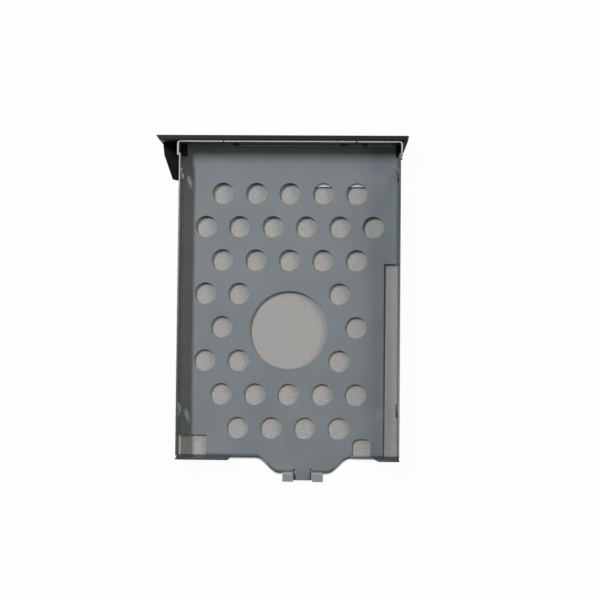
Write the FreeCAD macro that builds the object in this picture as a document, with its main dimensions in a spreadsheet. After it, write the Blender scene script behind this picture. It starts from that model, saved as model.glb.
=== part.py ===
# Laptop drive caddy: a folded, perforated steel tray with a moulded bezel staked to its front wall.
# Millimetres. X runs across the tray, Y towards the bezel, Z up out of the tray.
# The origin is on the floor's top face, where a drive sits, at the middle of the tray.

import FreeCAD
import Part
import Sketcher
import math
import os

# Driving dimensions

SIZES = {
    # The folded sheet
    "sheet_thickness": 0.5,
    "bend_radius": 0.6,              # inside of the side and rear folds
    "front_bend_radius": 0.8,        # inside of the front wall's fold
    "wall_rise": 5.6,                # rim above the floor's top face
    "fold_end_gap": 0.15,            # between the side walls' rear ends and the rear flanges

    # The drive that the tray is folded around: the 2.5-inch standard, with the play it is given
    "drive_width": 69.85,
    "drive_side_gap": 0.575,
    "drive_rear_gap": 1.0,
    "drive_front_gap": 0.5,
    "drive_hole_rear_inset": 14.0,   # connector end of the drive to its first side hole
    "drive_hole_spacing": 76.6,
    "drive_hole_front_inset": 9.6,
    "drive_hole_rise": 3.0,

    # Dimpled screw holes in the side walls; each dimple reaches in to the drive
    "screw_hole_diameter": 3.3,
    "dimple_top_diameter": 4.1,
    "dimple_base_diameter": 4.9,

    # Vent holes in staggered rows, and the large round hole among them
    "vent_diameter": 7.0,
    "vent_front_margin": 16.5,       # front wall's face to the first row
    "vent_rear_margin": 9.2,         # rear flanges' face to the last row
    "vent_side_margin": 8.5,         # side wall's face to the outermost column
    "vent_web": 1.0,                 # least metal left between a vent and another cut
    "centre_hole_diameter": 25.5,
    "centre_hole_setback": 61.4,     # front wall's face to the hole's centre

    # Cuts in the floor's edges
    "side_slot_width": 4.9,          # from the right wall's face
    "side_slot_setback": 39.5,       # front wall's face to the slot's front end
    "corner_cut_width": 9.3,         # from the left wall's face
    "corner_cut_length": 6.8,        # from the rear flanges' face
    "notch_width": 6.0,
    "notch_depth": 5.85,             # from the rear flanges' face
    "notch_radius": 2.0,
    "notch_inset": 12.0,             # right wall's face to the middle of the notch

    # Rear flanges with slanted ends, and the low lips that run on from them to the tongue
    "left_flange_length": 17.8,
    "right_flange_length": 8.9,
    "left_flange_slant": 0.8,
    "right_flange_slant": 2.2,
    "flange_lean": 0.65,             # how far the rim stands out past the fold
    "lip_rise": 0.7,
    "lip_lap": 0.7,                  # how far a lip's end stands into the tongue's root

    # The tongue, its flat finger and its two raised hooks
    "tongue_offset": 5.0,           # from the tray's middle
    "tongue_root_width": 32.5,
    "tongue_end_width": 15.5,
    "tongue_reach": 5.0,
    "finger_width": 4.7,
    "finger_reach": 2.6,
    "finger_corner_radius": 0.5,
    "hook_width": 3.5,
    "hook_spacing": 9.7,
    "hook_reach": 3.0,
    "hook_rise": 1.1,
    "hook_ramp": 0.6,
    "hook_slit_depth": 1.0,

    # Returns of the front wall, bent round the corners to lap the side walls
    "return_length": 4.8,
    "return_lap": 0.7,
    "lap_gap": 0.1,
    "corner_bend_radius": 0.7,
    "left_relief_width": 2.0,
    "right_relief_width": 1.2,
    "corner_relief_length": 4.4,
    "rim_slit_width": 0.35,
    "rim_slit_depth": 3.4,
    "rim_slit_spread": 43.2,

    # The bezel's plate and the ledge under the tray's front
    "bezel_thickness": 1.7,
    "bezel_crown": 0.3,
    "bezel_edge_radius": 0.4,
    "bezel_back_radius": 0.3,
    "bezel_top_corner_radius": 1.0,
    "bezel_rise": 6.0,
    "bezel_left_reach": 7.6,         # past the left wall's face
    "bezel_left_slant": 1.2,         # how much narrower the plate's back is there
    "bezel_right_reach": 2.6,        # past the right wall's face
    "bezel_right_slant": 0.35,
    "ledge_thickness": 0.6,
    "ledge_depth": 5.0,

    # The bezel's flat left ear, low enough to leave the screw hole beside it free
    "ear_gap": 0.1,                  # between ear or cheek and the front wall's return
    "ear_rise": 0.3,
    "ear_shoulder_reach": 6.05,
    "ear_shoulder_setback": 0.35,
    "ear_knee_reach": 5.65,
    "ear_knee_setback": 3.95,
    "ear_tip_reach": 2.8,
    "ear_tip_setback": 11.95,
    "ear_length": 12.45,
    "toe_gap": 0.15,                 # between the ear's toe and the side wall
    "toe_length": 0.7,

    # The bezel's right cheek
    "cheek_length": 3.6,
    "cheek_end_thickness": 0.2,

    # Stakes that hold the bezel: pegs through the front wall with flattened heads
    "stake_diameter": 1.9,
    "stake_fit": 0.05,
    "stake_head_diameter": 2.5,
    "stake_head_height": 0.35,
    "stake_head_chamfer": 0.15,
    "stake_rise": 2.1,
    "stake_spread": 35.2,
    "locator_offset": 24.5,
}

VENT_ROWS = 8
VENT_COLUMNS = 6                     # in the widest rows; the rows between have one less
CUT_MARGIN = 1.0                     # how far a cut runs on past the metal it goes through
ROOT_DEPTH = 0.3                     # how deep an added form starts inside the solid it grows from


class Size:
    """A length that knows its value and the sheet expression it is bound with."""

    def __init__(self, value, text):
        self.value = value
        self.text = text

    def __add__(self, other):
        other = as_size(other)
        return Size(self.value + other.value, f"({self.text} + {other.text})")

    def __sub__(self, other):
        other = as_size(other)
        return Size(self.value - other.value, f"({self.text} - {other.text})")

    def __mul__(self, other):
        other = as_size(other)
        return Size(self.value * other.value, f"({self.text} * {other.text})")

    def __truediv__(self, other):
        other = as_size(other)
        return Size(self.value / other.value, f"({self.text} / {other.text})")

    def __neg__(self):
        return self * -1


def as_size(item):
    if isinstance(item, Size):
        return item
    return Size(float(item), f"({float(item)})")


def fill_sheet(doc):
    """Write the driving dimensions to a sheet and return each one as a Size."""
    sheet = doc.addObject("Spreadsheet::Sheet", "Sizes")
    sizes = {}
    for row, (alias, value) in enumerate(SIZES.items(), start=1):
        sheet.set(f"A{row}", alias)
        sheet.set(f"B{row}", str(value))
        sheet.setAlias(f"B{row}", alias)
        sizes[alias] = Size(float(value), f"Sizes.{alias}")
    doc.recompute()
    return sizes


# Sketches and features

def add_sketch(body, name, role, x=0.0, y=0.0, z=0.0):
    """Attach a sketch to one of the body's origin planes, moved along the plane's own axes."""
    plane = next(item for item in body.Origin.OriginFeatures if item.Role == role)
    sketch = body.newObject("Sketcher::SketchObject", name)
    sketch.AttachmentSupport = [(plane, "")]
    sketch.MapMode = "FlatFace"
    for axis, offset in (("x", x), ("y", y), ("z", z)):
        sketch.setExpression(f"AttachmentOffset.Base.{axis}", as_size(offset).text)
    return sketch


def hold(sketch, size, *constraint):
    """Add a constraint and bind its value to the sheet."""
    index = sketch.addConstraint(Sketcher.Constraint(*constraint, size.value))
    sketch.setExpression(f"Constraints[{index}]", size.text)


def arc_between(start, end, radius):
    """The shorter arc from start to end: a positive radius turns left, a negative one right."""
    chord = end - start
    rise = math.sqrt(max(radius * radius - chord.Length * chord.Length / 4, 0.0))
    left = FreeCAD.Vector(-chord.y, chord.x, 0).normalize()
    centre = (start + end) / 2 + left * math.copysign(rise, radius)
    first, last = (start, end) if radius > 0 else (end, start)
    circle = Part.Circle(centre, FreeCAD.Vector(0, 0, 1), abs(radius))
    return Part.ArcOfCircle(circle, circle.parameter(first), circle.parameter(last))


def draw_outline(sketch, corners):
    """Draw a closed outline whose corners are held to the sheet.

    A corner is (x, y) where a straight side follows, and (x, y, radius) where an arc does.
    """
    corners = [[as_size(item) for item in corner] for corner in corners]
    points = [FreeCAD.Vector(corner[0].value, corner[1].value, 0) for corner in corners]
    ends = []
    for index, corner in enumerate(corners):
        start = points[index]
        end = points[(index + 1) % len(points)]
        if len(corner) == 2:
            side = sketch.addGeometry(Part.LineSegment(start, end), False)
            ends.append((side, 1, 2))
            continue
        radius = corner[2]
        side = sketch.addGeometry(arc_between(start, end, radius.value), False)
        turns_left = radius.value > 0
        ends.append((side, 1, 2) if turns_left else (side, 2, 1))
        hold(sketch, radius if turns_left else -radius, "Radius", side)
    for index, (side, first, last) in enumerate(ends):
        following, following_first, _ = ends[(index + 1) % len(ends)]
        sketch.addConstraint(Sketcher.Constraint("Coincident", side, last, following, following_first))
        hold(sketch, corners[index][0], "DistanceX", side, first)
        hold(sketch, corners[index][1], "DistanceY", side, first)


def draw_circle(sketch, x, y, diameter):
    x, y = as_size(x), as_size(y)
    centre = FreeCAD.Vector(x.value, y.value, 0)
    circle = sketch.addGeometry(Part.Circle(centre, FreeCAD.Vector(0, 0, 1), diameter.value / 2), False)
    hold(sketch, diameter, "Diameter", circle)
    hold(sketch, x, "DistanceX", circle, 3)
    hold(sketch, y, "DistanceY", circle, 3)


def add_length_feature(body, kind, sketch, length):
    feature = body.newObject(f"PartDesign::{kind}", f"{sketch.Name}_{kind}")
    feature.Profile = sketch
    feature.setExpression("Length", as_size(length).text)
    return feature


def pad(body, sketch, length):
    """Add metal or plastic from the sketch along its plane's normal: +Z, -Y or +X."""
    return add_length_feature(body, "Pad", sketch, length)


def pocket(body, sketch, length):
    """Cut from the sketch against its plane's normal: towards -Z, +Y or -X."""
    return add_length_feature(body, "Pocket", sketch, length)


def turn(body, kind, sketch, axis):
    """Add (Revolution) or cut (Groove) the sketch turned once round one of its own axes."""
    feature = body.newObject(f"PartDesign::{kind}", f"{sketch.Name}_{kind}")
    feature.Profile = sketch
    feature.ReferenceAxis = (sketch, [axis])
    feature.Angle = 360.0
    return feature


# Places that both sub-parts share

class Places:
    """Faces and lines worked out from the driving dimensions."""

    def __init__(self, size):
        thickness = size["sheet_thickness"]
        drive_length = (size["drive_hole_rear_inset"] + size["drive_hole_spacing"]
                        + size["drive_hole_front_inset"])
        tray_length = (drive_length + size["drive_rear_gap"] + size["drive_front_gap"] + thickness * 2)
        self.front = tray_length / 2
        self.rear = -self.front
        self.side = size["drive_width"] / 2 + size["drive_side_gap"] + thickness
        self.underside = -thickness
        self.front_inside = self.front - thickness
        self.rear_inside = self.rear + thickness
        self.side_inside = self.side - thickness
        self.return_outside = self.side + size["lap_gap"] + thickness
        self.bezel_bottom = self.underside - size["ledge_thickness"]
        self.rear_screws = self.rear_inside + size["drive_rear_gap"] + size["drive_hole_rear_inset"]
        self.front_screws = self.rear_screws + size["drive_hole_spacing"]
        self.stakes = (-size["stake_spread"] / 2, size["stake_spread"] / 2, size["locator_offset"])


# The tray

def make_side_walls(body, size, place):
    """The floor and the two side walls as one folded channel."""
    radius = size["bend_radius"]
    outer = radius + size["sheet_thickness"]
    rim = size["wall_rise"]
    fold = place.side - outer
    front_end = place.front - size["return_length"] + size["return_lap"]
    rear_end = place.rear_inside + size["fold_end_gap"]
    sketch = add_sketch(body, "SideWalls", "XZ_Plane", z=-front_end)
    draw_outline(sketch, [
        (-place.side, rim),
        (-place.side, radius, outer),
        (-fold, place.underside),
        (fold, place.underside, outer),
        (place.side, radius),
        (place.side, rim),
        (place.side_inside, rim),
        (place.side_inside, radius, -radius),
        (fold, 0),
        (-fold, 0, -radius),
        (-place.side_inside, radius),
        (-place.side_inside, rim),
    ])
    pad(body, sketch, front_end - rear_end)


def make_front_wall(body, size, place):
    """The front wall folded up from the floor, and its returns bent round the corners."""
    radius = size["front_bend_radius"]
    outer = radius + size["sheet_thickness"]
    rim = size["wall_rise"]
    fold = place.front - outer
    left_end = size["left_relief_width"] - place.side
    right_end = place.side - size["right_relief_width"]
    sketch = add_sketch(body, "FrontFold", "YZ_Plane", z=left_end)
    draw_outline(sketch, [
        (place.front - size["corner_relief_length"], place.underside),
        (fold, place.underside, outer),
        (place.front, radius),
        (place.front, rim),
        (place.front_inside, rim),
        (place.front_inside, radius, -radius),
        (fold, 0),
        (place.front - size["corner_relief_length"], 0),
    ])
    pad(body, sketch, right_end - left_end)

    inner_turn = size["corner_bend_radius"]
    outer_turn = inner_turn + size["sheet_thickness"]
    outside = place.return_outside
    inside = outside - size["sheet_thickness"]
    straight = outside - outer_turn
    bend = place.front - outer_turn
    end = place.front - size["return_length"]
    sketch = add_sketch(body, "FrontWrap", "XY_Plane", z=radius)
    draw_outline(sketch, [
        (-outside, end),
        (-outside, bend, -outer_turn),
        (-straight, place.front),
        (straight, place.front, -outer_turn),
        (outside, bend),
        (outside, end),
        (inside, end),
        (inside, bend, inner_turn),
        (straight, place.front_inside),
        (-straight, place.front_inside, inner_turn),
        (-inside, bend),
        (-inside, end),
    ])
    pad(body, sketch, rim - radius)


def make_rear_flange(body, size, place, name, start, end):
    """A rear flange folded up from the floor, from start to end across the tray."""
    radius = size["bend_radius"]
    outer = radius + size["sheet_thickness"]
    fold = place.rear + outer
    lean = size["flange_lean"]
    sketch = add_sketch(body, name, "YZ_Plane", z=start)
    draw_outline(sketch, [
        (fold + outer, place.underside),
        (fold, place.underside, -outer),
        (place.rear, radius),
        (place.rear - lean, size["wall_rise"]),
        (place.rear_inside - lean, size["wall_rise"]),
        (place.rear_inside, radius, radius),
        (fold, 0),
        (fold + outer, 0),
    ])
    pad(body, sketch, end - start)


def make_rear_flanges(body, size, place):
    """Both rear flanges, with slanted ends; each runs on as a low lip to the tongue."""
    rim = size["wall_rise"]
    left_end = size["left_flange_length"] - place.side
    right_end = place.side - size["right_flange_length"]
    root = size["tongue_root_width"] / 2 - size["lip_lap"]
    left_lip_end = size["tongue_offset"] - root
    right_lip_end = size["tongue_offset"] + root
    make_rear_flange(body, size, place, "LeftFlange", -place.side, left_lip_end)
    make_rear_flange(body, size, place, "RightFlange", right_lip_end, place.side)

    cut_start = -(place.rear - CUT_MARGIN)
    cut_length = size["sheet_thickness"] + 2 * CUT_MARGIN
    for name, flange_end, lip_end, side in (
        ("Left", left_end, left_lip_end, 1),
        ("Right", right_end, right_lip_end, -1),
    ):
        beyond = lip_end + CUT_MARGIN * side
        rim_end = flange_end - size[f"{name.lower()}_flange_slant"] * side
        sketch = add_sketch(body, f"{name}FlangeSlant", "XZ_Plane", z=cut_start)
        draw_outline(sketch, [
            (beyond, size["lip_rise"]),
            (flange_end, size["lip_rise"]),
            (rim_end, rim),
            (rim_end, rim + CUT_MARGIN),
            (beyond, rim + CUT_MARGIN),
        ])
        pocket(body, sketch, cut_length)


def s_bend_radius(run, rise):
    """Radius of two equal arcs that step over by run and up by rise, level at both ends."""
    return (run * run + rise * rise) / (rise * 4)


def make_tongue(body, size, place):
    """The tongue at the rear: S-shaped sides, a flat finger, and slits beside the hooks."""
    middle = size["tongue_offset"]
    reach = size["tongue_reach"]
    root = size["tongue_root_width"] / 2 - size["lip_lap"]
    tip = size["tongue_end_width"] / 2
    end = place.rear - reach
    bend = s_bend_radius(root - tip, reach)
    halfway = (root + tip) / 2
    halfway_y = (place.rear + end) / 2
    slit = size["hook_spacing"] / 2 - size["hook_width"] / 2
    slit_end = end + size["hook_slit_depth"]
    finger = size["finger_width"] / 2
    finger_end = end - size["finger_reach"]
    corner = size["finger_corner_radius"]
    floor_line = place.rear_inside + size["fold_end_gap"] + CUT_MARGIN
    sketch = add_sketch(body, "Tongue", "XY_Plane", z=place.underside)
    draw_outline(sketch, [
        (middle - root, floor_line),
        (middle - root, place.rear, -bend),
        (middle - halfway, halfway_y, bend),
        (middle - tip, end),
        (middle - slit, end),
        (middle - slit, slit_end),
        (middle - finger, slit_end),
        (middle - finger, finger_end + corner, corner),
        (middle - finger + corner, finger_end),
        (middle + finger - corner, finger_end, corner),
        (middle + finger, finger_end + corner),
        (middle + finger, slit_end),
        (middle + slit, slit_end),
        (middle + slit, end),
        (middle + tip, end, bend),
        (middle + halfway, halfway_y, -bend),
        (middle + root, place.rear),
        (middle + root, floor_line),
    ])
    pad(body, sketch, size["sheet_thickness"])


def make_hooks(body, size, place):
    """Two hooks that step up from the tongue's end."""
    end = place.rear - size["tongue_reach"]
    ramp_top = end - size["hook_ramp"]
    hook_end = end - size["hook_reach"]
    underside = place.underside
    rise = size["hook_rise"]
    for name, side in (("LeftHook", -1), ("RightHook", 1)):
        start = size["tongue_offset"] + size["hook_spacing"] * (side / 2) - size["hook_width"] / 2
        sketch = add_sketch(body, name, "YZ_Plane", z=start)
        draw_outline(sketch, [
            (end + ROOT_DEPTH, underside),
            (end, underside),
            (ramp_top, underside + rise),
            (hook_end, underside + rise),
            (hook_end, rise),
            (ramp_top, rise),
            (end, 0),
            (end + ROOT_DEPTH, 0),
        ])
        pad(body, sketch, size["hook_width"])


def make_screw_holes(body, size, place):
    """Dimples pressed in from outside to touch the drive, each with a screw hole through its middle."""
    hole = size["screw_hole_diameter"] / 2
    top = size["dimple_top_diameter"] / 2
    base = size["dimple_base_diameter"] / 2
    inset = size["sheet_thickness"] * (math.sqrt(2) - 1)
    depth = size["drive_side_gap"]
    rise = size["drive_hole_rise"]
    for end, y in (("Rear", place.rear_screws), ("Front", place.front_screws)):
        for name, side in (("Left", -1), ("Right", 1)):
            outside = place.side * side
            inside = place.side_inside * side
            middle = (outside + inside) / 2
            tip = inside - depth * side
            recess = outside - depth * side
            sketch = add_sketch(body, f"{end}{name}Dimple", "XY_Plane", y=y, z=rise)
            draw_outline(sketch, [(middle, 0), (tip, 0), (tip, top), (inside, base), (middle, base)])
            turn(body, "Revolution", sketch, "H_Axis")
            sketch = add_sketch(body, f"{end}{name}Hole", "XY_Plane", y=y, z=rise)
            draw_outline(sketch, [
                (outside + CUT_MARGIN * side, 0),
                (tip - CUT_MARGIN * side, 0),
                (tip - CUT_MARGIN * side, hole),
                (recess, hole),
                (recess, top - inset),
                (outside, base - inset),
                (outside + CUT_MARGIN * side, base - inset),
            ])
            turn(body, "Groove", sketch, "H_Axis")


def vent_places(size, place):
    """Staggered vent centres, leaving out those that would meet the large hole or an edge cut."""
    rows_length = place.front * 2 - size["vent_front_margin"] - size["vent_rear_margin"]
    row_pitch = rows_length / (VENT_ROWS - 1)
    column_pitch = (place.side - size["vent_side_margin"]) * 2 / (VENT_COLUMNS - 1)
    radius = size["vent_diameter"].value / 2 + size["vent_web"].value
    hole_y = place.front.value - size["centre_hole_setback"].value
    hole_radius = size["centre_hole_diameter"].value / 2
    slot_x = place.side.value - size["side_slot_width"].value
    slot_y = place.front.value - size["side_slot_setback"].value
    corner_x = size["corner_cut_width"].value - place.side.value
    corner_y = place.rear.value + size["corner_cut_length"].value
    places = []
    for row in range(VENT_ROWS):
        columns = VENT_COLUMNS - 1 + row % 2
        y = place.front - size["vent_front_margin"] - row_pitch * row
        for column in range(columns):
            x = column_pitch * (column - (columns - 1) / 2)
            meets_hole = math.hypot(x.value, y.value - hole_y) < hole_radius + radius
            meets_slot = x.value + radius > slot_x and y.value - radius < slot_y
            meets_corner = x.value - radius < corner_x and y.value - radius < corner_y
            if not (meets_hole or meets_slot or meets_corner):
                places.append((x, y))
    return places


def cut_floor(body, size, place):
    """Vents, the large hole, and the cuts along the floor's edges, which take the folds with them."""
    sketch = add_sketch(body, "Vents", "XY_Plane", z=CUT_MARGIN)
    for x, y in vent_places(size, place):
        draw_circle(sketch, x, y, size["vent_diameter"])
    draw_circle(sketch, 0, place.front - size["centre_hole_setback"], size["centre_hole_diameter"])
    pocket(body, sketch, size["sheet_thickness"] + 2 * CUT_MARGIN)

    fold_top = size["bend_radius"]
    fold_depth = fold_top - place.underside + CUT_MARGIN
    beyond_side = place.side + size["lap_gap"] / 2
    beyond_rear = place.rear - CUT_MARGIN
    slot = place.side - size["side_slot_width"]
    slot_front = place.front - size["side_slot_setback"]
    sketch = add_sketch(body, "SideSlot", "XY_Plane", z=fold_top)
    draw_outline(sketch, [
        (slot, slot_front),
        (slot, beyond_rear),
        (beyond_side, beyond_rear),
        (beyond_side, slot_front),
    ])
    pocket(body, sketch, fold_depth)

    corner = size["corner_cut_width"] - place.side
    corner_front = place.rear + size["corner_cut_length"]
    sketch = add_sketch(body, "CornerCut", "XY_Plane", z=fold_top)
    draw_outline(sketch, [
        (-beyond_side, corner_front),
        (-beyond_side, beyond_rear),
        (corner, beyond_rear),
        (corner, corner_front),
    ])
    pocket(body, sketch, fold_depth)

    middle = place.side - size["notch_inset"]
    half = size["notch_width"] / 2
    top = place.rear + size["notch_depth"]
    radius = size["notch_radius"]
    sketch = add_sketch(body, "Notch", "XY_Plane", z=fold_top)
    draw_outline(sketch, [
        (middle - half, place.rear_inside),
        (middle + half, place.rear_inside),
        (middle + half, top - radius, radius),
        (middle + half - radius, top),
        (middle - half + radius, top, radius),
        (middle - half, top - radius),
    ])
    pocket(body, sketch, fold_depth)


def cut_front(body, size, place):
    """Corner reliefs in the floor, slits in the front rim, and holes for the bezel's stakes."""
    fold_top = size["bend_radius"]
    relief_rear = place.front - size["corner_relief_length"]
    beyond_side = place.side + size["lap_gap"] / 2
    slit_half = size["rim_slit_width"] / 2
    for name, side in (("Left", -1), ("Right", 1)):
        relief_inside = place.side - size[f"{name.lower()}_relief_width"]
        sketch = add_sketch(body, f"{name}Relief", "XY_Plane", z=fold_top)
        draw_outline(sketch, [
            (relief_inside * side, relief_rear),
            (beyond_side * side, relief_rear),
            (beyond_side * side, place.front_inside),
            (relief_inside * side, place.front_inside),
        ])
        pocket(body, sketch, fold_top - place.underside + CUT_MARGIN)

        slit = size["rim_slit_spread"] * (side / 2)
        sketch = add_sketch(body, f"{name}RimSlit", "XY_Plane", z=size["wall_rise"] + CUT_MARGIN)
        draw_outline(sketch, [
            (slit - slit_half, place.front_inside - CUT_MARGIN),
            (slit + slit_half, place.front_inside - CUT_MARGIN),
            (slit + slit_half, place.front + CUT_MARGIN),
            (slit - slit_half, place.front + CUT_MARGIN),
        ])
        pocket(body, sketch, size["rim_slit_depth"] + CUT_MARGIN)

    sketch = add_sketch(body, "StakeHoles", "XZ_Plane", z=-(place.front_inside - CUT_MARGIN))
    for x in place.stakes:
        draw_circle(sketch, x, size["stake_rise"], size["stake_diameter"] + size["stake_fit"] * 2)
    pocket(body, sketch, size["sheet_thickness"] + 2 * CUT_MARGIN)


def make_tray(doc, size, place):
    body = doc.addObject("PartDesign::Body", "Tray")
    body.Label = "tray"
    make_side_walls(body, size, place)
    make_front_wall(body, size, place)
    make_rear_flanges(body, size, place)
    make_tongue(body, size, place)
    make_hooks(body, size, place)
    make_screw_holes(body, size, place)
    cut_floor(body, size, place)
    cut_front(body, size, place)
    return body


# The bezel

def make_plate(body, size, place):
    """The bezel's plate, with a slightly crowned front face, rounded edges and slanted ends."""
    back = place.front
    face = place.front + size["bezel_thickness"]
    edge = size["bezel_edge_radius"]
    back_edge = size["bezel_back_radius"]
    bottom = place.bezel_bottom
    top = size["bezel_rise"]
    crown = size["bezel_crown"]
    chord = top - bottom - edge * 2
    crown_radius = chord * chord / (crown * 8) + crown / 2
    left = -place.side - size["bezel_left_reach"]
    right = place.side + size["bezel_right_reach"]
    sketch = add_sketch(body, "Plate", "YZ_Plane", z=left)
    draw_outline(sketch, [
        (back, bottom),
        (face - edge, bottom, edge),
        (face, bottom + edge, crown_radius),
        (face, top - edge, edge),
        (face - edge, top),
        (back + back_edge, top, back_edge),
        (back, top - back_edge),
    ])
    pad(body, sketch, right - left)

    top_radius = size["bezel_top_corner_radius"]
    for name, x, side in (("Left", left, -1), ("Right", right, 1)):
        beyond = x + CUT_MARGIN * side
        slant_x = x - size[f"bezel_{name.lower()}_slant"] * side
        sketch = add_sketch(body, f"{name}EndSlant", "XY_Plane", z=top + CUT_MARGIN)
        draw_outline(sketch, [
            (x, face),
            (beyond, face),
            (beyond, back - CUT_MARGIN),
            (slant_x, back - CUT_MARGIN),
            (slant_x, back),
        ])
        pocket(body, sketch, top - bottom + 2 * CUT_MARGIN)
        turn_x = x - top_radius * side
        sketch = add_sketch(body, f"{name}TopCorner", "XZ_Plane", z=-back)
        draw_outline(sketch, [
            (x, top - top_radius, top_radius * side),
            (turn_x, top),
            (turn_x, top + CUT_MARGIN),
            (beyond, top + CUT_MARGIN),
            (beyond, top - top_radius),
        ])
        pocket(body, sketch, size["bezel_thickness"] + crown + CUT_MARGIN)


def make_ledge(body, size, place):
    """The ledge that the tray's front rests on."""
    rear = place.front - size["ledge_depth"]
    left = -place.return_outside - size["ear_gap"] - ROOT_DEPTH
    right = place.return_outside + size["ear_gap"] + size["cheek_end_thickness"]
    beyond = place.front + ROOT_DEPTH
    sketch = add_sketch(body, "Ledge", "XY_Plane", z=place.bezel_bottom)
    draw_outline(sketch, [(left, rear), (right, rear), (right, beyond), (left, beyond)])
    pad(body, sketch, size["ledge_thickness"])


def make_ear(body, size, place):
    """The flat left ear beside the front wall's return, which tapers back to a toe at the side wall."""
    inside = -place.return_outside - size["ear_gap"]
    root = place.front + ROOT_DEPTH
    toe = -place.side - size["toe_gap"]
    toe_end = place.front - size["ear_length"]
    sketch = add_sketch(body, "Ear", "XY_Plane", z=place.bezel_bottom)
    draw_outline(sketch, [
        (-place.side - size["bezel_left_reach"] + size["bezel_left_slant"], root),
        (-place.side - size["ear_shoulder_reach"], place.front - size["ear_shoulder_setback"]),
        (-place.side - size["ear_knee_reach"], place.front - size["ear_knee_setback"]),
        (-place.side - size["ear_tip_reach"], place.front - size["ear_tip_setback"]),
        (toe, toe_end),
        (toe, toe_end + size["toe_length"]),
        (inside, toe_end + size["toe_length"] * 2),
        (inside, root),
    ])
    pad(body, sketch, size["ear_rise"] - place.bezel_bottom)


def make_cheek(body, size, place):
    """The thin right cheek beside the front wall's return."""
    inside = place.return_outside + size["ear_gap"]
    root = place.front + ROOT_DEPTH
    end = place.front - size["cheek_length"]
    outside = place.side + size["bezel_right_reach"] - size["bezel_right_slant"]
    sketch = add_sketch(body, "Cheek", "XY_Plane", z=place.bezel_bottom)
    draw_outline(sketch, [
        (inside, root),
        (inside, end),
        (inside + size["cheek_end_thickness"], end),
        (outside, place.front),
        (outside, root),
    ])
    pad(body, sketch, size["bezel_rise"] - size["bezel_back_radius"] - place.bezel_bottom)


def make_stakes(body, size, place):
    """Pegs on the plate's back that pass the front wall and are flattened inside it."""
    peg = size["stake_diameter"] / 2
    head = size["stake_head_diameter"] / 2
    chamfer = size["stake_head_chamfer"]
    seat = place.front_inside
    end = seat - size["stake_head_height"]
    for index, x in enumerate(place.stakes, start=1):
        sketch = add_sketch(body, f"Stake{index}", "XY_Plane", x=x, z=size["stake_rise"])
        draw_outline(sketch, [
            (0, place.front + ROOT_DEPTH),
            (0, end),
            (head - chamfer, end),
            (head, end + chamfer),
            (head, seat),
            (peg, seat),
            (peg, place.front + ROOT_DEPTH),
        ])
        turn(body, "Revolution", sketch, "V_Axis")


def make_bezel(doc, size, place):
    body = doc.addObject("PartDesign::Body", "Bezel")
    body.Label = "bezel"
    make_plate(body, size, place)
    make_ledge(body, size, place)
    make_ear(body, size, place)
    make_cheek(body, size, place)
    make_stakes(body, size, place)
    return body


# Checks and export

def check_features(body):
    """Stop where an added form adds nothing or a cut cuts nothing."""
    volume = 0.0
    for feature in body.Group:
        if not feature.TypeId.startswith("PartDesign::"):
            continue
        change = feature.Shape.Volume - volume
        cuts = feature.TypeId in ("PartDesign::Pocket", "PartDesign::Groove")
        if (change >= 0) if cuts else (change <= 0):
            raise RuntimeError(f"{feature.Name} changes the volume by {change:.4f}")
        volume = feature.Shape.Volume


def check_document(doc, bodies):
    for item in doc.Objects:
        if "Invalid" in item.State or "Error" in item.State:
            raise RuntimeError(f"{item.Name} is {item.State}")
    for body in bodies:
        if body.Shape.isNull() or not body.Shape.isValid() or len(body.Shape.Solids) != 1:
            raise RuntimeError(f"{body.Label} isn't one valid solid")
        check_features(body)


def main():
    doc = FreeCAD.newDocument("DriveCaddy")
    size = fill_sheet(doc)
    place = Places(size)
    bodies = [make_tray(doc, size, place), make_bezel(doc, size, place)]
    doc.recompute()
    check_document(doc, bodies)
    os.makedirs("parts", exist_ok=True)
    for body in bodies:
        body.Shape.exportStep(f"parts/{body.Label}.step")
        print(f"{body.Label}: {body.Shape.Volume:.1f} mm3, box {body.Shape.BoundBox}")


main()
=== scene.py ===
# Looks of a laptop drive caddy: a folded zinc-plated tray with a black moulded bezel.
# The frame is the part's own: X across the tray, Y towards the bezel, Z up out of the tray.
# Sizes and places are in millimetres, and MM turns them into the scene's metres.

import math
from functools import cached_property

import bpy
from mathutils import Matrix, Vector


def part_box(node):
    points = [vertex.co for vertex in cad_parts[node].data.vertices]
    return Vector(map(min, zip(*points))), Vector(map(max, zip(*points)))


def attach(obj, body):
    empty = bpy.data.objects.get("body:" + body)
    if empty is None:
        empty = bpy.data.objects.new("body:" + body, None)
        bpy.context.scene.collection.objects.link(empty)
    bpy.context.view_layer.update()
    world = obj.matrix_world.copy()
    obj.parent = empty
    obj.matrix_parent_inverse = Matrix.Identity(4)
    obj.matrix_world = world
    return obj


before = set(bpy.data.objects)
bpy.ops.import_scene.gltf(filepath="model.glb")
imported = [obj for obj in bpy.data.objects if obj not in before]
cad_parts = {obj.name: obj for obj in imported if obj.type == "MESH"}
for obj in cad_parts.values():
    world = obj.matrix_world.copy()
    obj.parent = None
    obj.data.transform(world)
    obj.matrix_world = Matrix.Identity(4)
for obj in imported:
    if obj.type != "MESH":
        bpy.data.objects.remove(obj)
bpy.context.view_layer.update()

MM = 0.001

# Places read from the frame
tray_low, tray_high = (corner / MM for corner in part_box("tray"))
bezel_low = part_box("bezel")[0] / MM
RIM = tray_high.z
UNDERSIDE = tray_low.z
FRONT = tray_high.y
REAR = -FRONT
HOOK_END = tray_low.y
BEZEL_BOTTOM = bezel_low.z

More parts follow.
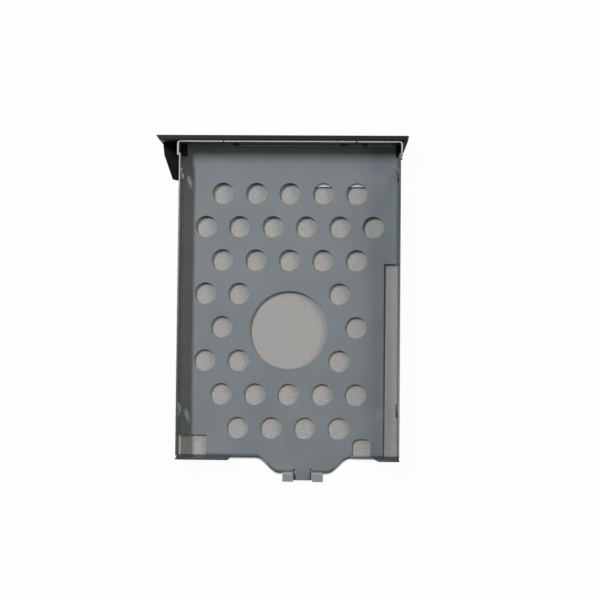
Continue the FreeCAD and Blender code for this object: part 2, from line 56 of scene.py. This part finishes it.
# Sizes of the tray and the bezel
RETURN_LAP = 0.6                 # the front wall's returns stand this far outside the side walls
SIDE = tray_high.x - RETURN_LAP
SHEET = 0.5
FOLD_WIDTH = 1.1                 # from the side wall's outer face to the flat floor
FOLD_RISE = 0.6                  # from the floor to the flat wall
DIMPLE_BASE = SIDE - SHEET
DIMPLE_TIP = DIMPLE_BASE - 0.575
TONGUE_MIDDLE = 5.0
TONGUE_ROOT = 15.55              # half its width at the rear fold
TONGUE_TIP = 7.75                # half its width at its end
TONGUE_END = REAR - 5.0
FINGER_SIDE = 2.35               # from the tongue's middle
HOOK_MIDDLE = 4.85               # from the tongue's middle
LEDGE_REAR = FRONT - 5.0

# The camera, as the photograph has it
PHOTO_PIXELS = 600
FOCAL_PIXELS = 961
CAMERA_PLACE = (10.8, -9.95, 315.1)
CAMERA_TURN = (1.79, 1.29, 0.51)  # degrees about X, Y and Z
SENSOR_WIDTH = 36.0
CLIP_START = 10.0

# Light: a long cool lamp at the front left, a broad warm one low at the front right, and a dim room.
# A lamp's size is given across and along Y, and its level is what it alone gives white that faces up.
LAMPS = {
    "key": {
        "direction": (-0.758, 0.79, 1.0),
        "distance": 1500.0,
        "size": (165.0, 600.0),
        "level": 0.55,
        "colour": (0.92, 0.95, 1.0),
    },
    "fill": {
        "direction": (2.2, 1.0, 1.0),
        "distance": 1600.0,
        "size": (600.0, 1600.0),
        "level": 0.26,
        "colour": (1.0, 0.935, 0.855),
    },
}
ROOM_LEVEL = 0.105
ROOM_COLOUR = (1.0, 0.935, 0.855)

# Noise, as scale for each millimetre, detail and roughness
ZINC_CLOUD = (0.06, 3.0, 0.55)
ZINC_GRAIN = (3.2, 2.0, 0.6)
ROLLING_LINES = (1.0, 3.0, 0.6)
EDGE_BURR = (1.6, 3.0, 0.7)
MOULD_TEXTURE = (5.0, 2.0, 0.6)
MOULD_CLOUD = (0.15, 2.0, 0.5)
PAPER_FIBRE = (2.5, 3.0, 0.65)
GROUND_SPECK = (2.6, 3.0, 0.8)
ROLLING_STRETCH = (1.6, 0.05, 1.6)  # along X, Y and Z

# The part of a noise that carries a colour or a roughness from its lowest to its highest
NOISE_SPAN = (0.3, 0.7)
TONE_SPAN = (0.36, 0.64)
FLANGE_MOTTLE_SPAN = (0.35, 0.75)

# How much the cloud, the rolling lines and the grain add to the zinc's tone
CLOUD_SHARE = 0.4
ROLLING_SHARE = 0.15
GRAIN_SHARE = 0.45

# Colours; a pair is the darkest and the lightest tone
ZINC = ((0.244, 0.274, 0.287), (0.303, 0.335, 0.349))
BURNISHED_ZINC = ((0.40, 0.43, 0.45), (0.50, 0.53, 0.55))
DARK_FLANGE_ZINC = ((0.05, 0.052, 0.054), (0.15, 0.155, 0.16))
# Rim steel: a lit copy for the painted highlight, and a shaded copy for painted shade
RIM_HIGHLIGHT_STEEL = ((0.52, 0.53, 0.54), (0.80, 0.80, 0.79))
SHADED_RIM_STEEL = ((0.07, 0.07, 0.068), (0.42, 0.41, 0.39))
BLACK_PLASTIC = ((0.006, 0.006, 0.0062), (0.009, 0.009, 0.0092))
LABEL_PAPER = ((0.56, 0.57, 0.575), (0.66, 0.67, 0.675))
# painted light: the raised hooks are lighter than the rest of the same sheet
LIT_HOOK_ZINC = (0.36, 0.38, 0.385)
# A darker zinc tone: painted shade in the folds, on the inner walls, the right dimples and the rear edge,
# and the finger's darker tone
DARK_ZINC = (0.05, 0.053, 0.055)
# painted shade on the ear, and painted light on the ledge and the pegs' heads, which lie in shade
SHADED_EAR_PLASTIC = (0.0035, 0.0035, 0.0036)
LIGHTENED_INNER_PLASTIC = (0.03, 0.03, 0.031)

# How strongly the painted shade, the darkening and the rim's painted highlight show
FINGER_DARKENING = 0.13
FOLD_SHADE = 0.5
WALL_RELIEF = 0.12               # how much less the walls have than their folds
FRONT_SHARE = 0.7                # what the front wall has of it
LEFT_FOLD_SHADE = 0.4
DIMPLE_SHADE = (0.85, 0.3)     # painted shade where a dimple faces the rear, and where it faces the front
REAR_EDGE_SHADE = 0.6
RIGHT_EDGE_SHARE = 0.2           # what the rear edge's right part has of it
RIGHT_EDGE_BLEND = (14.0, 17.0)  # where along X that changes
FLANGE_DARKENING = 0.6
# How much of the rim's painted highlight the side walls lose, and how much the specks lighten the shaded
# rim
SIDE_RIM_DIMMING = 0.8
RIM_SPECKS = 0.5
RIM_HIGHLIGHT_FROM = (36.0, 47.0)        # where along Y the rim's painted highlight begins, at the left and the right wall
CORNER_PRODUCT = 1200.0          # X times Y towards a corner of the tray
CORNER_LIGHTNESS = (0.9, 0.1)        # how light the shaded rim is at the two pairs of corners

# Finishes
ZINC_METALLIC = (0.5, 0.95)      # on the floor and on the walls
ZINC_ROUGHNESS = (0.72, 0.78)
GRAIN_ROUGHNESS = 0.06
WALL_SHEEN = 0.38                # how much smoother the walls are
PLASTIC_SPECULAR = (0.42, 0.03)  # where it shines most and least
PLASTIC_ROUGHNESS = (0.48, 0.58)
INNER_MATT = 0.6
EAR_MATT = 0.3
EAR_OUTER_SHARE = 0.5            # what the ear's outer part has of it
EAR_BLEND = (-38.6, -37.0)       # where along X that changes
PAPER_ROUGHNESS = 0.6

# The ground under the caddy, and the backdrop
GROUND_SIZE = 4600.0
GROUND_COLOUR = (0.425, 0.42, 0.408)
GROUND_SPREAD = 0.2              # how far its specks depart from that colour
# Painted shade on the ground under the slot beside the right wall
SLOT_SHADE_COLOUR = (0.25, 0.257, 0.262)
SLOT_SHARE = 0.7                 # how much of it shows under the slot beside the right wall
SLOT_BLEND = (29.0, 34.0)        # where along X it comes in
PAPER_COLOUR = (0.86, 0.86, 0.86)
SHADOW_SHARE = 0.045             # how much of its shadow the white ground keeps
BACKDROP_RADIUS = 2200.0
BACKDROP_HEIGHT = 600.0
BACKDROP_FOOT = -60.0
BACKDROP_STEPS = 64

# A blank paper label under the floor's front edge
LABEL_LEFT = 5.0
LABEL_RIGHT = 31.0
LABEL_REAR = 37.2
LABEL_FRONT = LEDGE_REAR - 0.3
LABEL_THICKNESS = 0.12
LABEL_CORNER = 1.0
LABEL_CORNER_STEPS = 6


class Shader:
    """One material's node tree, built from the outputs of earlier nodes."""

    def __init__(self, name):
        self.material = bpy.data.materials.new(name)
        self.material.use_nodes = True
        self.tree = self.material.node_tree
        self.tree.nodes.clear()

    def node(self, kind, inputs=(), **settings):
        """Add a node; inputs are (socket name or number, value or output) pairs."""
        node = self.tree.nodes.new(kind)
        for key, value in settings.items():
            setattr(node, key, value)
        for key, value in inputs:
            socket = node.inputs[key]
            if isinstance(value, bpy.types.NodeSocket):
                self.tree.links.new(value, socket)
            else:
                socket.default_value = value
        return node

    @cached_property
    def place(self):
        """Where a point is in the part's frame, in millimetres."""
        source = self.node("ShaderNodeTexCoord").outputs["Object"]
        inputs = [(0, source), ("Scale", 1 / MM)]
        return self.node("ShaderNodeVectorMath", inputs, operation="SCALE").outputs[0]

    @cached_property
    def axes(self):
        """The place along X, Y and Z."""
        return self.split(self.place)

    @cached_property
    def facing(self):
        """How far the surface faces along X, Y and Z."""
        return self.split(self.node("ShaderNodeNewGeometry").outputs["Normal"])

    def split(self, vector):
        return self.node("ShaderNodeSeparateXYZ", [(0, vector)]).outputs

    def stretch(self, vector, scale):
        inputs = [(0, vector), (1, scale)]
        return self.node("ShaderNodeVectorMath", inputs, operation="MULTIPLY").outputs[0]

    def math(self, operation, *values):
        inputs = list(enumerate(values))
        return self.node("ShaderNodeMath", inputs, operation=operation).outputs[0]

    def plus(self, first, second):
        return self.math("ADD", first, second)

    def minus(self, first, second):
        return self.math("SUBTRACT", first, second)

    def times(self, first, *others):
        for other in others:
            first = self.math("MULTIPLY", first, other)
        return first

    def larger(self, first, second):
        return self.math("MAXIMUM", first, second)

    def size(self, value):
        return self.math("ABSOLUTE", value)

    def rest(self, share):
        """What a share leaves of the whole."""
        return self.minus(1.0, share)

    def range(self, value, low, high, to_low=0.0, to_high=1.0, smooth=True):
        """Carry value from low..high to to_low..to_high, held at both ends."""
        kind = "SMOOTHSTEP" if smooth else "LINEAR"
        inputs = [("Value", value), ("From Min", low), ("From Max", high),
                  ("To Min", to_low), ("To Max", to_high)]
        return self.node("ShaderNodeMapRange", inputs, interpolation_type=kind).outputs["Result"]

    def above(self, value, level, blend, most=1.0):
        """Most where value is over level and 0 where it is under it, blended around level."""
        return self.range(value, level - blend / 2, level + blend / 2, 0.0, most)

    def below(self, value, level, blend, most=1.0):
        """Most where value is under level and 0 where it is over it, blended around level."""
        return self.range(value, level - blend / 2, level + blend / 2, most, 0.0)

    def noise(self, vector, scale, detail, roughness):
        inputs = [("Vector", vector), ("Scale", scale), ("Detail", detail), ("Roughness", roughness)]
        return self.node("ShaderNodeTexNoise", inputs).outputs["Fac"]

    def mix(self, share, first, second):
        """Mix two colours, each an output or plain values; share is how much of the second shows."""
        inputs = [(0, share)]
        for socket, colour in ((6, first), (7, second)):
            plain = not isinstance(colour, bpy.types.NodeSocket)
            inputs.append((socket, (*colour, 1.0) if plain else colour))
        return self.node("ShaderNodeMix", inputs, data_type="RGBA").outputs[2]

    def soft_edges(self, radius):
        """A normal that rounds the sharp edges over."""
        return self.node("ShaderNodeBevel", [("Radius", radius * MM)], samples=6).outputs[0]

    def bump(self, height, strength, distance, edge_radius):
        inputs = [("Strength", strength), ("Distance", distance * MM), ("Height", height),
                  ("Normal", self.soft_edges(edge_radius))]
        return self.node("ShaderNodeBump", inputs).outputs[0]

    def principled(self, **values):
        """Finish the material; a value's name is its socket's, with _ for a space."""
        inputs = [(name.replace("_", " "), value) for name, value in values.items()]
        return self.surface(self.node("ShaderNodeBsdfPrincipled", inputs).outputs[0])

    def seen_white(self, lit, share=1.0):
        """The lit shader, which the camera, gloss and glass see as plain white by that share."""
        rays = self.node("ShaderNodeLightPath").outputs
        seen = self.larger(rays["Is Camera Ray"], rays["Is Glossy Ray"])
        seen = self.larger(seen, rays["Is Transmission Ray"])
        white = self.node("ShaderNodeEmission", [("Strength", 1.0)]).outputs[0]
        inputs = [(0, self.times(seen, share)), (1, lit), (2, white)]
        return self.node("ShaderNodeMixShader", inputs).outputs[0]

    def surface(self, shader_output):
        output = self.node("ShaderNodeOutputMaterial")
        self.tree.links.new(shader_output, output.inputs["Surface"])
        return self.material


def tongue_outline(shader):
    """How far a point is ahead of the tray's rear outline, and how far from the tongue's middle."""
    x, y, z = shader.axes
    off_middle = shader.size(shader.minus(x, TONGUE_MIDDLE))
    outline = shader.range(off_middle, TONGUE_TIP, TONGUE_ROOT, TONGUE_END, REAR)
    return shader.minus(y, outline), off_middle


# Zinc

def plated(shader, tone, rolled, on_sheet, upright):
    """Zinc plate: the walls are burnished, the hooks lighter with painted light, and the finger between
    them darker.
    """
    x, y, z = shader.axes
    colour = shader.mix(shader.range(tone, *TONE_SPAN), *ZINC)
    on_finger = shader.below(y, TONGUE_END + 0.25, blend=2.5, most=FINGER_DARKENING)
    colour = shader.mix(on_finger, colour, DARK_ZINC)
    # Painted light makes the raised hooks lighter
    on_hooks = shader.minus(shader.above(z, 0.35, blend=0.5), on_sheet)
    colour = shader.mix(on_hooks, colour, LIT_HOOK_ZINC)
    burnished = shader.mix(shader.range(rolled, *NOISE_SPAN), *BURNISHED_ZINC)
    return shader.mix(upright, colour, burnished)


def painted_inner_shade(shader, colour, on_sheet):
    """Painted shade on the inner faces: the folds most, then the walls, and the front wall least."""
    x, y, z = shader.axes
    away = shader.plus(shader.times(x, shader.facing[0]), shader.times(y, shader.facing[1]))
    inward = shader.below(away, -5.5, blend=7.0, most=FOLD_SHADE)
    inward = shader.minus(inward, shader.below(away, -27.0, blend=18.0, most=WALL_RELIEF))
    inward = shader.times(inward, on_sheet, shader.range(y, FRONT - 3.0, FRONT - 1.0, 1.0, FRONT_SHARE))
    colour = shader.mix(inward, colour, DARK_ZINC)

    # Painted shade along the left fold
    in_left_fold = shader.times(shader.below(x, FOLD_WIDTH - 0.075 - SIDE, blend=0.15),
                                shader.above(z, 0.02, blend=0.03),
                                shader.below(z, FOLD_RISE + 0.05, blend=0.3, most=LEFT_FOLD_SHADE))
    colour = shader.mix(in_left_fold, colour, DARK_ZINC)

    # Painted shade: the right dimples are darkest on the side that faces the rear
    on_dimple = shader.times(shader.below(x, DIMPLE_BASE - 0.1, blend=0.1),
                             shader.above(x, DIMPLE_TIP - 0.675, blend=0.5),
                             shader.above(z, 0.5, blend=0.2),
                             shader.range(shader.facing[1], -0.5, 0.4, *DIMPLE_SHADE))
    return shader.mix(on_dimple, colour, DARK_ZINC)


def rim_highlight_and_shade(shader, colour, burr):
    """The rim's bare steel: a painted highlight round the front, and painted shade with lighter specks
    towards the rear.
    """
    x, y, z = shader.axes
    highlight_from = shader.range(x, -SIDE, SIDE, *RIM_HIGHLIGHT_FROM, smooth=False)
    highlight = shader.above(shader.minus(y, highlight_from), 0.0, blend=4.0)

    # On the side walls the painted highlight is dimmed, all but a thin line along the rim's middle
    off_line = shader.size(shader.minus(shader.size(x), SIDE - SHEET / 2))
    on_side_rim = shader.below(off_line, 0.28, blend=0.04, most=SIDE_RIM_DIMMING)
    on_line = shader.below(off_line, 0.125, blend=0.11)
    dimmed = shader.times(on_side_rim, shader.rest(on_line), highlight)
    highlight = shader.minus(highlight, dimmed)

    # The shaded rim steel is lighter at the left front and the right rear, but not on the rear flanges
    corner = shader.times(x, y)
    lightness = shader.times(shader.range(corner, -CORNER_PRODUCT, CORNER_PRODUCT, *CORNER_LIGHTNESS),
                         shader.above(y, REAR + 1.4, blend=1.2))
    lightness = shader.plus(lightness, shader.above(burr, 0.59, blend=0.14, most=RIM_SPECKS))
    lightness = shader.times(lightness, shader.rest(dimmed))

    on_rim = shader.times(shader.above(z, RIM - 0.15, blend=0.1),
                          shader.above(shader.facing[2], 0.7, blend=0.4))
    steel = shader.mix(highlight, shader.mix(lightness, *SHADED_RIM_STEEL), shader.mix(burr, *RIM_HIGHLIGHT_STEEL))
    return shader.mix(on_rim, colour, steel)


def darkened_flanges(shader, colour, burr):
    """The rear flanges' inner faces are dark and mottled."""
    x, y, z = shader.axes
    on_flange = shader.times(shader.above(z, 1.0, blend=0.4),
                             shader.below(z, RIM - 0.25, blend=0.1),
                             shader.above(shader.facing[1], -0.35, blend=0.3),
                             shader.below(y, REAR + 0.85, blend=0.3),
                             shader.above(y, REAR - 1.75, blend=0.5))
    mottled = shader.mix(shader.range(burr, *FLANGE_MOTTLE_SPAN), *DARK_FLANGE_ZINC)
    return shader.mix(shader.times(on_flange, FLANGE_DARKENING), colour, mottled)


def painted_rear_edge_shade(shader, colour, on_sheet):
    """A dark line of painted shade along the floor's rear edge and round the tongue, fainter on the
    right.
    """
    x, y, z = shader.axes
    ahead, off_middle = tongue_outline(shader)
    on_edge = shader.times(shader.below(ahead, 0.6, blend=0.6, most=REAR_EDGE_SHADE),
                           shader.above(shader.facing[2], 0.5, blend=0.4),
                           shader.below(z, 1.25, blend=0.5),
                           on_sheet,
                           shader.above(off_middle, FINGER_SIDE + 0.05, blend=0.4),
                           shader.range(x, *RIGHT_EDGE_BLEND, 1.0, RIGHT_EDGE_SHARE))
    return shader.mix(on_edge, colour, DARK_ZINC)


def zinc_material():
    """Satin zinc plate on rolled steel, with painted shade in the folds, on the inner walls, the right
    dimples and the rear edge, and a painted highlight on the bare cut rim.
    """
    shader = Shader("zinc_plated_steel")
    x, y, z = shader.axes
    cloud = shader.noise(shader.place, *ZINC_CLOUD)
    grain = shader.noise(shader.place, *ZINC_GRAIN)
    burr = shader.noise(shader.place, *EDGE_BURR)
    rolled = shader.noise(shader.stretch(shader.place, ROLLING_STRETCH), *ROLLING_LINES)
    tone = shader.plus(shader.times(cloud, CLOUD_SHARE), shader.times(rolled, ROLLING_SHARE))
    tone = shader.plus(tone, shader.times(grain, GRAIN_SHARE))

    on_sheet = shader.above(y, TONGUE_END, blend=0.2)
    upright = shader.times(shader.below(shader.size(shader.facing[2]), 0.575, blend=0.55), on_sheet)
    colour = plated(shader, tone, rolled, on_sheet, upright)
    colour = painted_inner_shade(shader, colour, on_sheet)
    colour = rim_highlight_and_shade(shader, colour, burr)
    colour = darkened_flanges(shader, colour, burr)
    colour = painted_rear_edge_shade(shader, colour, on_sheet)

    roughness = shader.range(cloud, *NOISE_SPAN, *ZINC_ROUGHNESS)
    roughness = shader.plus(roughness, shader.times(grain, GRAIN_ROUGHNESS))
    return shader.principled(
        Base_Color=colour,
        Metallic=shader.range(upright, 0.0, 1.0, *ZINC_METALLIC, smooth=False),
        Roughness=shader.minus(roughness, shader.times(upright, WALL_SHEEN)),
        Normal=shader.bump(grain, strength=0.12, distance=0.02, edge_radius=0.2),
    )


# Plastic and paper

def black_plastic_material():
    """Matte moulded plastic with a fine spark-eroded texture; what lies behind the plate shines least.
    The ledge and the pegs' heads are lightened with painted light, and the ear is darkened with painted
    shade.
    """
    shader = Shader("black_plastic")
    x, y, z = shader.axes
    texture = shader.noise(shader.place, *MOULD_TEXTURE)
    cloud = shader.noise(shader.place, *MOULD_CLOUD)

    inner = shader.times(shader.below(y, FRONT + 0.05, blend=0.3), shader.below(z, 3.5, blend=1.0))
    beyond_wall = shader.below(x, 0.3 - SIDE, blend=0.2)
    # Painted light on the ledge and the pegs' heads, and painted shade on the ear
    inner_light_and_shade = shader.mix(beyond_wall, LIGHTENED_INNER_PLASTIC, SHADED_EAR_PLASTIC)
    colour = shader.mix(shader.range(cloud, *NOISE_SPAN), *BLACK_PLASTIC)
    colour = shader.mix(inner, colour, inner_light_and_shade)

    on_ear = shader.times(shader.range(x, *EAR_BLEND, EAR_OUTER_SHARE, 1.0), beyond_wall)
    matt = shader.plus(shader.times(inner, INNER_MATT), shader.times(inner, on_ear, EAR_MATT))
    return shader.principled(
        Base_Color=colour,
        Specular_IOR_Level=shader.range(matt, 0.0, 1.0, *PLASTIC_SPECULAR, smooth=False),
        Roughness=shader.range(texture, *NOISE_SPAN, *PLASTIC_ROUGHNESS),
        Normal=shader.bump(texture, strength=0.2, distance=0.03, edge_radius=0.2),
    )


def paper_material():
    """Coated white label paper."""
    shader = Shader("label_paper")
    fibre = shader.noise(shader.place, *PAPER_FIBRE)
    return shader.principled(
        Base_Color=shader.mix(fibre, *LABEL_PAPER),
        Roughness=PAPER_ROUGHNESS,
        Normal=shader.bump(fibre, strength=0.1, distance=0.02, edge_radius=0.04),
    )


# The label

def add_mesh(name, points, faces, material):
    """A mesh object, whose points are in millimetres."""
    mesh = bpy.data.meshes.new(name)
    mesh.from_pydata([(x * MM, y * MM, z * MM) for x, y, z in points], [], faces)
    mesh.update()
    mesh.materials.append(material)
    item = bpy.data.objects.new(name, mesh)
    bpy.context.scene.collection.objects.link(item)
    return item


def make_label():
    """A thin sheet with rounded corners, stuck to the floor's underside."""
    left, right = LABEL_LEFT + LABEL_CORNER, LABEL_RIGHT - LABEL_CORNER
    rear, front = LABEL_REAR + LABEL_CORNER, LABEL_FRONT - LABEL_CORNER
    centres = ((right, front), (left, front), (left, rear), (right, rear))
    outline = []
    for quarter, (x, y) in enumerate(centres):
        for step in range(LABEL_CORNER_STEPS + 1):
            angle = math.radians(90 * (quarter + step / LABEL_CORNER_STEPS))
            outline.append((x + LABEL_CORNER * math.cos(angle), y + LABEL_CORNER * math.sin(angle)))

    count = len(outline)
    points = [(x, y, level) for level in (UNDERSIDE, UNDERSIDE - LABEL_THICKNESS) for x, y in outline]
    faces = [tuple(range(count)), tuple(reversed(range(count, 2 * count)))]
    for index in range(count):
        following = (index + 1) % count
        faces.append((index, count + index, count + following, following))
    label = add_mesh("label", points, faces, paper_material())
    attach(label, "root")


# The stage

def ground_level(y):
    """Height of the ground, which the bezel's foot and the tray's rear both touch."""
    slope = (BEZEL_BOTTOM - UNDERSIDE) / (LEDGE_REAR - HOOK_END)
    return UNDERSIDE + (y - HOOK_END) * slope


def under_tray(shader):
    """1 where the tray covers the ground, and between the hooks."""
    x, y, z = shader.axes
    ahead, off_middle = tongue_outline(shader)
    between_hooks = shader.times(shader.below(off_middle, HOOK_MIDDLE - 0.1, blend=0.2),
                                 shader.above(y, HOOK_END + 0.25, blend=0.3))
    return shader.times(shader.larger(shader.above(ahead, -0.75, blend=0.9), between_hooks),
                        shader.below(shader.size(x), SIDE + 0.4, blend=0.2),
                        shader.below(y, FRONT + 0.25, blend=0.5))


def ground_material():
    """Plain white paper; under the caddy it shows its own grey, as the room lights it, with painted shade
    under the slot beside the right wall.
    """
    shader = Shader("ground")
    x, y, z = shader.axes
    speck = shader.noise(shader.place, *GROUND_SPECK)
    dark = [part * (1 - GROUND_SPREAD) for part in GROUND_COLOUR]
    light = [part * (1 + GROUND_SPREAD) for part in GROUND_COLOUR]
    grey = shader.mix(shader.range(speck, *NOISE_SPAN), dark, light)
    # Painted shade under the slot beside the right wall
    grey = shader.mix(shader.range(x, *SLOT_BLEND, 0.0, SLOT_SHARE), grey, SLOT_SHADE_COLOUR)
    under = under_tray(shader)
    lit = shader.node("ShaderNodeBsdfDiffuse", [("Color", shader.mix(under, PAPER_COLOUR, grey))])
    paper = shader.seen_white(lit.outputs[0], shader.times(shader.rest(under), 1.0 - SHADOW_SHARE))

    # From below the ground is clear, so that the part's underside shows
    clear = shader.node("ShaderNodeBsdfTransparent").outputs[0]
    backfacing = shader.node("ShaderNodeNewGeometry").outputs["Backfacing"]
    both = shader.node("ShaderNodeMixShader", [(0, backfacing), (1, paper), (2, clear)])
    return shader.surface(both.outputs[0])


def backdrop_material():
    """The same white, all round."""
    shader = Shader("backdrop")
    lit = shader.node("ShaderNodeBsdfDiffuse", [("Color", (*PAPER_COLOUR, 1.0))])
    return shader.surface(shader.seen_white(lit.outputs[0]))


def make_stage():
    """A wide ground under the part, and a low wall far off, all round it."""
    half = GROUND_SIZE / 2
    corners = ((-half, -half), (half, -half), (half, half), (-half, half))
    points = [(x, y, ground_level(y)) for x, y in corners]
    ground = add_mesh("ground", points, [(0, 1, 2, 3)], ground_material())

    points = []
    faces = []
    for level in (BACKDROP_FOOT, BACKDROP_HEIGHT):
        for step in range(BACKDROP_STEPS):
            angle = 2 * math.pi * step / BACKDROP_STEPS
            points.append((BACKDROP_RADIUS * math.cos(angle), BACKDROP_RADIUS * math.sin(angle), level))
    for step in range(BACKDROP_STEPS):
        following = (step + 1) % BACKDROP_STEPS
        faces.append((step, following, BACKDROP_STEPS + following, BACKDROP_STEPS + step))
    backdrop = add_mesh("backdrop", points, faces, backdrop_material())


def make_lamp(name, direction, distance, size, level, colour):
    """A rectangular lamp that faces the part, with its second side along Y."""
    towards = Vector(direction).normalized()
    along = Vector((0.0, 1.0, 0.0))
    along = (along - towards * along.dot(towards)).normalized()
    across = along.cross(towards)
    data = bpy.data.lights.new(name, "AREA")
    data.shape = "RECTANGLE"
    data.size = size[0] * MM
    data.size_y = size[1] * MM
    data.color = colour
    data.energy = level * (math.pi * distance * MM) ** 2 / towards.z
    lamp = bpy.data.objects.new(name, data)
    lamp.matrix_world = Matrix((across, along, towards)).transposed().to_4x4()
    lamp.location = towards * distance * MM
    bpy.context.scene.collection.objects.link(lamp)


def make_light():
    """The lamps, and the room's even light."""
    for name, values in LAMPS.items():
        make_lamp(name, **values)
    world = bpy.data.worlds.new("room")
    bpy.context.scene.world = world
    world.use_nodes = True
    background = world.node_tree.nodes["Background"]
    background.inputs["Color"].default_value = (*ROOM_COLOUR, 1.0)
    background.inputs["Strength"].default_value = ROOM_LEVEL


def make_camera():
    data = bpy.data.cameras.new("camera")
    data.sensor_width = SENSOR_WIDTH
    data.lens = SENSOR_WIDTH * FOCAL_PIXELS / PHOTO_PIXELS
    data.clip_start = CLIP_START * MM
    camera = bpy.data.objects.new("camera", data)
    camera.location = Vector(CAMERA_PLACE) * MM
    camera.rotation_euler = [math.radians(angle) for angle in CAMERA_TURN]
    bpy.context.scene.collection.objects.link(camera)
    bpy.context.scene.camera = camera


def dress(node, material):
    """Give a node of the frame its finish."""
    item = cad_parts[node]
    item.data.materials.clear()
    item.data.materials.append(material)


dress("tray", zinc_material())
dress("bezel", black_plastic_material())
make_label()
make_stage()
make_light()
make_camera()
bpy.context.scene.view_settings.view_transform = "Standard"
